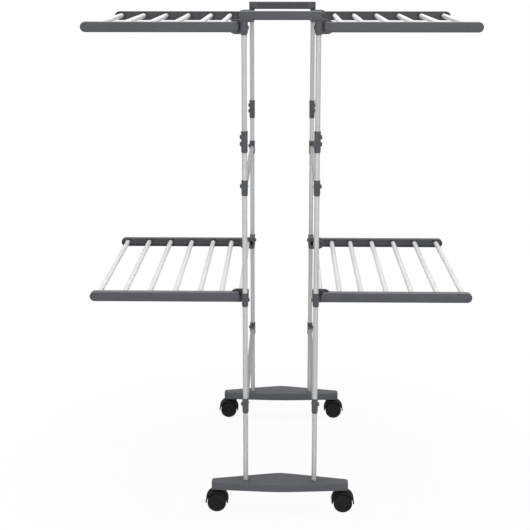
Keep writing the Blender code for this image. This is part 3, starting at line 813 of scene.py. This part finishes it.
def make_bracket_web():
    """The neck between sleeve and plate, framed and recessed on its two sides."""
    half = BRACKET_LENGTH / 2 - WEB_MARGIN
    web = open_piece("web")
    block((-WEB_IN, 0, -half), (WEB_OUT, PLATE_START + PLATE_EDGE, half))
    for place, direction in ((WEB_OUT, -1), (-WEB_IN, 1)):
        pick_faces_at(0, place)
        bpy.ops.mesh.inset(thickness=WEB_FRAME)
        push(direction * WEB_RECESS, 0, 0)
    close_piece(None)
    cutter = open_piece("cutter")
    bar((RELIEF_OUT, PLATE_END - RELIEF_DEPTH, 0), (RELIEF_OUT, PLATE_END + OVERRUN, 0),
        RELIEF_RADIUS, SMALL_SIDES)
    close_piece(None)
    cut_away(web, cutter)
    dress(web, fitting_grey, SLEEVE_EDGE)
    return web


def make_bracket():
    plate = make_bracket_plate()
    web = make_bracket_web()
    fittings = open_piece("fittings")
    add_sleeve(BRACKET_LENGTH)
    add_screw_boss(-1, 0)
    edge = SLEEVE_EDGE
    pin_tip = PIN_LENGTH - edge
    turned([(0, 0), (PIN_RADIUS, 0), (PIN_RADIUS, pin_tip), (PIN_RADIUS - edge, PIN_LENGTH),
            (0, PIN_LENGTH)], (PIVOT_OUT, PLATE_START, 0), (0, -1, 0), SMALL_SIDES)
    set_aside()
    turned([(RING_HOLE_RADIUS, -edge), (RING_RADIUS, -edge), (RING_RADIUS, RING_HEIGHT - edge),
            (RING_RADIUS - edge, RING_HEIGHT), (RING_HOLE_RADIUS + edge, RING_HEIGHT),
            (RING_HOLE_RADIUS, RING_HEIGHT - edge)], (PIVOT_OUT, PLATE_END, 0), (0, 1, 0), ROUND_SIDES)
    set_aside()
    relief, relief_floor = RELIEF_RADIUS - STEP_DOWN, PLATE_END - RELIEF_DEPTH
    mouth = PLATE_START + edge - relief_floor
    turned([(0, -RELIEF_WALL), (relief + RELIEF_WALL, -RELIEF_WALL), (relief + RELIEF_WALL, mouth),
            (relief, mouth), (relief, 0), (0, 0)], (RELIEF_OUT, relief_floor, 0), (0, 1, 0), SMALL_SIDES)
    set_aside()
    bore = STRETCHER_RADIUS + FIT / 2
    turned([(bore, -edge), (bore + ROD_SOCKET_WALL + edge, -edge),
            (bore + ROD_SOCKET_WALL, ROD_SOCKET_HEIGHT - edge),
            (bore + ROD_SOCKET_WALL - edge, ROD_SOCKET_HEIGHT), (bore + edge, ROD_SOCKET_HEIGHT),
            (bore, ROD_SOCKET_HEIGHT - edge)], (ROD_SOCKET_OUT, PLATE_END, 0), (0, 1, 0), SMALL_SIDES)
    set_aside()
    close_piece(fitting_grey)
    return join([fittings, plate, web])


def make_screw():
    """A cross-slotted screw head that faces +X, with its seat at x = 0."""
    head = open_piece("screw")
    dome = [(SCREW_RADIUS * across, SCREW_HEIGHT * up) for across, up in SCREW_DOME_SHARES]
    turned([(0, 0), (SCREW_RADIUS, 0)] + dome, ORIGIN, (1, 0, 0), SMALL_SIDES)
    close_piece(None)
    for reach_y, reach_z in ((SLOT_REACH, SLOT_WIDTH / 2), (SLOT_WIDTH / 2, SLOT_REACH)):
        cutter = open_piece("cutter")
        block((SCREW_HEIGHT - SLOT_DEPTH, -reach_y, -reach_z), (OVERRUN, reach_y, reach_z))
        close_piece(None)
        cut_away(head, cutter)
    dress(head, steel)
    return head


# Tubes

def make_tube(name, start, end, radius, finish):
    """A round tube whose ends are eased and hollow."""
    start, end = Vector(start), Vector(end)
    along = (end - start).normalized()
    open_piece(name)
    bar(start, end, radius)
    for place, inward in ((start, along), (end, -along)):
        pick("FACE", lambda face: (face.calc_center_median() - place).length < NEAR)
        bpy.ops.mesh.inset(thickness=radius * TUBE_WALL_SHARE)
        push(*(inward * radius * TUBE_HOLLOW_SHARE))
    return close_piece(finish, radius * TUBE_EDGE_SHARE)


# Top bars, at the front end with the poles' plane at y = 0

def make_top_bar():
    half_length, half_depth = TOP_BAR_LENGTH / 2, TOP_BAR_DEPTH / 2
    piece = open_piece("top_bar")
    block((-half_length, -half_depth, TOP_BAR_BOTTOM), (half_length, half_depth, RACK_HEIGHT))
    pick("EDGE", lambda edge: abs(edge.verts[0].co.z - edge.verts[1].co.z) > TOP_BAR_HEIGHT / 2)
    soften(TOP_BAR_CORNER, TOP_BAR_CORNER_STEPS)
    for height in (TOP_BAR_BOTTOM, RACK_HEIGHT):
        pick_edges_at(2, height)
        soften(TOP_BAR_EDGE, ROUND_STEPS)
    close_piece(None)
    inner = half_length - TOP_BAR_BLOCK
    pitch = (TOP_BAR_HEIGHT - 2 * TOP_BAR_WALL + TOP_BAR_RIB) / TOP_BAR_GROOVES
    for step in range(TOP_BAR_GROOVES):
        foot = TOP_BAR_BOTTOM + TOP_BAR_WALL + step * pitch
        cutter = open_piece("cutter")
        block((-inner, half_depth - TOP_BAR_GROOVE_DEPTH, foot),
              (inner, half_depth + OVERRUN, foot + pitch - TOP_BAR_RIB))
        close_piece(None)
        cut_away(piece, cutter)
    dress(piece, fitting_grey, TOP_BAR_GROOVE_EDGE)
    return piece


# Arms: the right front one about its pivot, with its outer face at y = 0

def rod_places():
    """Distances of the rods from the pivot."""
    outermost = TRAY_REACH - OUTER_ROD_INSET - PIVOT_X
    even_gaps = ROD_COUNT - 2
    pitch = (outermost - INNER_ROD_OUT) / (even_gaps + INNER_GAP_SHARE)
    return [INNER_ROD_OUT] + [outermost - step * pitch for step in range(even_gaps, -1, -1)]


def make_arm():
    half = ARM_HEIGHT / 2
    tip = TRAY_REACH - PIVOT_X - half
    lean = math.degrees(math.asin(half / ARM_HEEL_RADIUS))
    shape = arc((tip, 0), half, -90, 90, ARM_TIP_STEPS)
    shape += arc((0, 0), ARM_HEEL_RADIUS, 180 - lean, 180 + lean, ARM_HEEL_STEPS)
    open_piece("arm")
    outline(in_xz(shape, 0))
    push(0, ARM_THICKNESS, 0)
    pick_faces_at(1, ARM_THICKNESS)
    bpy.ops.mesh.inset(thickness=ARM_WALL)
    push(0, ARM_FLOOR - ARM_THICKNESS, 0)
    pick_edges_at(1, 0)
    soften(ARM_EDGE, CORNER_STEPS)
    pick_edges_at(1, ARM_THICKNESS)
    soften(ARM_RIM_EDGE, EASE_STEPS)
    set_aside()

    floor = ARM_FLOOR - ARM_WALL / 2
    places = rod_places()
    rib_top = ARM_FLOOR + ARM_RIB_RISE
    side = half - ARM_WALL / 2
    block((0, floor, -ARM_RIB / 2), (places[-1], rib_top, ARM_RIB / 2))
    set_aside()
    for here, after in zip([0] + places, places):
        x = (here + after) / 2
        block((x - ARM_RIB / 2, floor, -side), (x + ARM_RIB / 2, rib_top - STEP_DOWN, side))
        set_aside()
    inner = ROD_RADIUS + FIT / 2
    outer = inner + ROD_BOSS_WALL
    for place in places:
        turned([(inner, floor), (outer + ROD_BOSS_EDGE, floor), (outer, ARM_THICKNESS - ROD_BOSS_EDGE),
                (outer - ROD_BOSS_EDGE, ARM_THICKNESS), (inner + ROD_BOSS_EDGE, ARM_THICKNESS),
                (inner, ARM_THICKNESS - ROD_BOSS_EDGE)], (place, 0, 0), (0, 1, 0), SMALL_SIDES)
        set_aside()
    turned([(PIN_BORE_RADIUS, floor), (ARM_HUB_RADIUS + ROD_BOSS_EDGE, floor),
            (ARM_HUB_RADIUS, ARM_THICKNESS - ROD_BOSS_EDGE),
            (ARM_HUB_RADIUS - ROD_BOSS_EDGE, ARM_THICKNESS), (PIN_BORE_RADIUS, ARM_THICKNESS)],
           ORIGIN, (0, 1, 0), SMALL_SIDES)
    set_aside()
    return close_piece(arm_grey)


# Castors, about the swivel axis with the wheels trailing to +X

def clear_wheels(piece):
    """Cuts the wheels' room out of a closed piece, and eases and finishes what is left."""
    reach = WEB_THICKNESS / 2 + WHEEL_WIDTH + OVERRUN
    cutter = open_piece("cutter")
    bar((CASTOR_TRAIL, -reach, WHEEL_RADIUS), (CASTOR_TRAIL, reach, WHEEL_RADIUS),
        WHEEL_RADIUS + HOOD_GAP, WHEEL_SIDES)
    close_piece(None)
    cut_away(piece, cutter)
    dress(piece, castor_black, HOOD_EDGE)


def make_hood():
    """The round guard over the wheels, and the collar that carries it under the base."""
    width = WEB_THICKNESS + 2 * (WHEEL_WIDTH + FIT + HOOD_OVERHANG)
    hub = (CASTOR_TRAIL, WHEEL_RADIUS)
    hood = open_piece("hood")
    outline(in_xz(arc(hub, (HOOD_REACH, HOOD_TOP - WHEEL_RADIUS), 0, 180, ROUND_SIDES), -width / 2))
    push(0, width, 0)
    pick("EDGE", lambda edge: abs(edge.verts[0].co.y - edge.verts[1].co.y) < NEAR and
         max(vertex.co.z for vertex in edge.verts) > WHEEL_RADIUS + NEAR)
    soften(HOOD_SHOULDER_ROUND, ROUND_STEPS)
    close_piece(None)
    collar = open_piece("collar")
    top = BASE_BOTTOM - FIT
    turned([(0, COLLAR_BOTTOM), (COLLAR_RADIUS, COLLAR_BOTTOM), (COLLAR_RADIUS, top), (0, top)],
           ORIGIN, (0, 0, 1), ROUND_SIDES)
    close_piece(None)
    for part in (hood, collar):
        clear_wheels(part)
    return join([hood, collar])


def make_castor_fork():
    """What carries the wheels under the hood: the web between them, the axle and the stem."""
    open_piece("fork")
    hub = (CASTOR_TRAIL, WHEEL_RADIUS)
    web_reach = WHEEL_RADIUS + (HOOD_GAP + HOOD_REACH - WHEEL_RADIUS) / 2
    lean = math.degrees(math.asin(WEB_RADIUS / web_reach))
    shape = arc(hub, web_reach, 90 - lean, 90 + lean)
    shape += arc(hub, WEB_RADIUS, 180, 360, HALF_TURN_STEPS)
    outline(in_xz(shape, -WEB_THICKNESS / 2))
    push(0, WEB_THICKNESS, 0)
    pick("EDGE", lambda edge: abs(edge.verts[0].co.y - edge.verts[1].co.y) < NEAR)
    soften(HOOD_EDGE, EASE_STEPS)
    set_aside()
    reach = WEB_THICKNESS / 2 + WHEEL_WIDTH - WHEEL_DISH
    bar((hub[0], -reach, hub[1]), (hub[0], reach, hub[1]), AXLE_RADIUS, SMALL_SIDES)
    set_aside()
    bar((0, 0, HOOD_TOP), (0, 0, BASE_BOTTOM + BASE_HOLLOW * STEM_SHARE), STEM_RADIUS, SMALL_SIDES)
    set_aside()
    return close_piece(castor_black)


def make_wheel():
    """One wheel about its axle at the origin, its inner face at y = 0 and its dished face at +Y."""
    bore = AXLE_RADIUS + FIT / 2
    radius, width = WHEEL_RADIUS, WHEEL_WIDTH
    rim = radius - TREAD_ROUND - WHEEL_RIM
    groove, deep = TREAD_GROOVE_WIDTH, radius - TREAD_GROOVE
    first, second = (width * share for share in TREAD_GROOVE_SHARES)
    ease = TREAD_ROUND * TREAD_EASE_SHARE
    floor = width - WHEEL_DISH
    profile = [(bore, 0), (radius - ease, 0), (radius, ease), (radius, first), (deep, first),
               (deep, first + groove), (radius, first + groove), (radius, second), (deep, second),
               (deep, second + groove), (radius, second + groove)]
    profile += arc((radius - TREAD_ROUND, width - TREAD_ROUND), TREAD_ROUND, 0, 90, CORNER_STEPS)
    profile += [(rim + ease, width), (rim, width - ease), (rim - ease, floor),
                (WHEEL_HUB_RADIUS + ease, floor), (WHEEL_HUB_RADIUS, floor + ease),
                (WHEEL_HUB_RADIUS - ease, width - ease), (CAP_RADIUS, width - ease),
                (CAP_RADIUS, floor), (bore, floor)]
    open_piece("wheel")
    turned(profile, ORIGIN, (0, 1, 0), WHEEL_SIDES)

    def in_pocket(face):
        centre = face.calc_center_median()
        out = math.hypot(centre.x, centre.z)
        if abs(centre.y - floor) > NEAR or not WHEEL_HUB_RADIUS < out < rim:
            return False
        turn = math.atan2(centre.z, centre.x) / math.tau * WHEEL_SPOKES
        return turn % 1 < POCKET_SHARE
    pick("FACE", in_pocket)
    bpy.ops.mesh.inset(thickness=POCKET_EDGE)
    push(0, -POCKET_DEPTH, 0)
    set_aside()
    cap = CAP_RADIUS - FIT
    turned([(0, floor), (cap, floor), (cap, width - 2 * ease), (cap - ease, width - ease),
            (0, width - ease / 2)], ORIGIN, (0, 1, 0), SMALL_SIDES)
    set_aside()
    return close_piece(wheel_black)


# Putting the rack together

def make_masters():
    """One of each piece that the rack repeats."""
    return {"base": make_base(), "top_bar": make_top_bar(), "coupling": make_coupling(),
            "tee": make_tee(), "bracket": make_bracket(), "screw": make_screw(),
            "castor": join([make_castor_fork(), make_hood()]), "wheel": make_wheel(),
            "arm": make_arm()}


def place_sleeves(masters, corner, side, end, y):
    """The coupling, tees and brackets on one pole, and their screws as one piece."""
    seat = SLEEVE_RADIUS + BOSS_REACH - BOSS_RECESS
    sleeves = [("pole_coupling", "coupling", side, COUPLING_SCREW_RISES)]
    sleeves += [(f"{tier}_tee", "tee", side, [TEE_SCREW_RISE]) for tier in TIERS]
    sleeves += [(f"{tier}_bracket", "bracket", -side, [0]) for tier in TIERS]
    screws = []
    for kind, master, facing, rises in sleeves:
        node = f"{corner}_{kind}"
        height = middle(node).z
        place = (side * POLE_HALF, y, height)
        fit(copy_to(masters[master], f"{node}_dressed", place, (side, end, 1)),
            "frame", node)
        for rise in rises:
            place = (side * POLE_HALF + facing * seat, y, height + rise)
            screws.append(copy_to(masters["screw"], "screw_copy", place, (facing, 1, 1)))
    heads = join(screws)
    heads.name = f"{corner}_screws"
    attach(heads, "frame")


def place_castor(masters, corner, side, y):
    fit(copy_to(masters["castor"], f"{corner}_castor_dressed", (side * SWIVEL_X, y, 0), (side, 1, 1)),
        f"{corner}_castor", f"{corner}_castor_housing")
    for face_name, face in (("front", -1), ("rear", 1)):
        node = f"{corner}_castor_{face_name}_wheel"
        place = (side * (SWIVEL_X + CASTOR_TRAIL), y + face * (WEB_THICKNESS / 2 + FIT), WHEEL_RADIUS)
        fit(copy_to(masters["wheel"], f"{node}_dressed", place, (1, face, 1)),
            f"{corner}_wheels", node)


def place_end_frame(masters, end_name, end):
    y = -end * FRAME_HALF
    for kind, slot in (("base", "base_plastic"), ("top_bar", "fitting_plastic")):
        node = f"{end_name}_{kind}"
        fit(copy_to(masters[kind], f"{node}_dressed", (0, y, 0), (1, end, 1)), "frame", node)
    for side_name, side in SIDES.items():
        corner = f"{end_name}_{side_name}"
        x = side * POLE_HALF
        for half in ("lower", "upper"):
            node = f"{corner}_{half}_pole"
            low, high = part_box(node)
            pole = make_tube(f"{node}_tube", (x, y, low.z), (x, y, high.z), POLE_RADIUS, pole_silver)
            fit(pole, "frame", node)
        place_sleeves(masters, corner, side, end, y)
        place_castor(masters, corner, side, y)


def place_long_tubes(side_name, tier):
    """The cross tube and the stretcher rod between the end frames."""
    # The cross tubes' darker silver is painted shade
    for kind, radius, finish, slot in (("cross_tube", POLE_RADIUS, painted_shade_cross_silver, "cross_tube"),
                                       ("stretcher_rod", STRETCHER_RADIUS, rod_white, "tray_rod")):
        node = f"{side_name}_{tier}_{kind}"
        low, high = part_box(node)
        x, z = middle(node).x, middle(node).z
        tube = make_tube(f"{node}_dressed", (x, low.y, z), (x, high.y, z), radius, finish)
        fit(tube, "frame", node)


def place_tray(masters, side_name, side, tier):
    """The two arms of a tray and its six rods, on the body that folds."""
    tray = f"{side_name}_{tier}"
    body = f"{tray}_tray"
    nodes = {"front": f"{tray}_front_arm_with_rods", "rear": f"{tray}_rear_arm"}
    height = middle(nodes["rear"]).z
    for end_name, end in ENDS.items():
        place = (side * PIVOT_X, -end * (FRAME_HALF - ARM_START), height)
        fit(copy_to(masters["arm"], f"{tray}_{end_name}_arm_dressed", place, (side, end, 1)),
            body, nodes[end_name])
    reach = FRAME_HALF - ARM_START - ROD_END_IN
    for number, place in enumerate(rod_places(), 1):
        x = side * (PIVOT_X + place)
        rod = make_tube(f"{tray}_rod_{number}", (x, -reach, height), (x, reach, height),
                        ROD_RADIUS, rod_white)
        fit(rod, body, nodes["front"])


def put_together():
    masters = make_masters()
    for end_name, end in ENDS.items():
        place_end_frame(masters, end_name, end)
    for side_name, side in SIDES.items():
        for tier in TIERS:
            place_long_tubes(side_name, tier)
            place_tray(masters, side_name, side, tier)
    for master in masters.values():
        bpy.data.objects.remove(master)


put_together()


# Floor, light and camera

FLOOR_SIZE = 14.0
FLOOR_COLOUR = (0.55, 0.55, 0.55, 1)
WHITE = (1, 1, 1, 1)
SHADOW_REACH = 0.35
WHITE_REACH = 0.95
WHITE_UNDER_RACK = 0.95
AMBIENT = 0.28
AIM = (0, 0, 0.5)

# Each lamp's name, place, size, power, and whether shiny faces mirror it
LAMPS = (("left_strip", (-2.2, -3.0, 1.7), (0.5, 2.8), 9, True),
         ("right_strip", (2.2, -3.0, 1.5), (0.5, 2.8), 12, True),
         ("front_softbox", (0.2, -3.6, 1.0), (1.8, 1.8), 90, False),
         ("overhead_softbox", (0, 0.3, 3.4), (2.4, 2.4), 100, True))

CAMERA_PLACE = (0.0109, -2.6181, 1.1495)
CAMERA_TILT = math.radians(90 - 13.707)
CAMERA_TURN = math.radians(1.043)
LENS = 80.378
LENS_SHIFT = -0.03
FARTHEST_SEEN = 100


def make_floor():
    """A pale floor that is seen white away from the rack and keeps the rack's shadow under it."""
    deselect_all()
    bpy.ops.mesh.primitive_plane_add(size=FLOOR_SIZE, location=ORIGIN)
    floor = bpy.context.object
    floor.name = "floor"
    finish = Finish("pale_floor")
    finish.surface(Base_Color=FLOOR_COLOUR, Roughness=0.9, Specular_IOR_Level=0.0)
    plain = Value(finish, finish.shader.outputs[0])
    glow = finish.add("ShaderNodeEmission", {}, {"Color": WHITE, "Strength": 1.0})
    distance = finish.add("ShaderNodeVectorMath", {"operation": "LENGTH"}, {0: finish.place}, "Value")
    fade = finish.add("ShaderNodeMapRange", {"interpolation_type": "SMOOTHSTEP"}, {
        "Value": distance, "From Min": SHADOW_REACH, "From Max": WHITE_REACH,
        "To Min": WHITE_UNDER_RACK, "To Max": 1.0})
    soft = finish.add("ShaderNodeMixShader", {}, {0: fade, 1: plain, 2: glow})
    seen = finish.seen_white(plain, soft)
    finish.feed(finish.tree.nodes["Material Output"], "Surface", seen)
    floor.data.materials.append(finish.material)


def make_world():
    world = bpy.context.scene.world or bpy.data.worlds.new("studio")
    bpy.context.scene.world = world
    nodes = Nodes(world)
    plain = nodes.add("ShaderNodeBackground", {}, {"Color": WHITE, "Strength": AMBIENT})
    white = nodes.add("ShaderNodeBackground", {}, {"Color": WHITE, "Strength": 1.0})
    seen = nodes.seen_white(plain, white)
    nodes.feed(nodes.tree.nodes["World Output"], "Surface", seen)


def add_lamp(name, place, size, power, mirrored):
    """A softbox aimed at the rack, mirrored in shiny faces or kept out of them."""
    lamp = bpy.data.lights.new(name, "AREA")
    lamp.shape = "RECTANGLE"
    lamp.size, lamp.size_y = size
    lamp.energy = power
    holder = bpy.data.objects.new(name, lamp)
    holder.location = place
    holder.rotation_euler = (Vector(AIM) - Vector(place)).to_track_quat("-Z", "Y").to_euler()
    holder.visible_glossy = mirrored
    bpy.context.scene.collection.objects.link(holder)


def add_camera():
    camera = bpy.data.cameras.new("camera")
    camera.lens = LENS
    camera.shift_y = LENS_SHIFT
    camera.clip_end = FARTHEST_SEEN
    holder = bpy.data.objects.new("camera", camera)
    holder.location = CAMERA_PLACE
    holder.rotation_euler = (CAMERA_TILT, 0, CAMERA_TURN)
    bpy.context.scene.collection.objects.link(holder)
    bpy.context.scene.camera = holder


make_floor()
make_world()
for lamp_settings in LAMPS:
    add_lamp(*lamp_settings)
add_camera()
bpy.context.scene.view_settings.view_transform = "Standard"
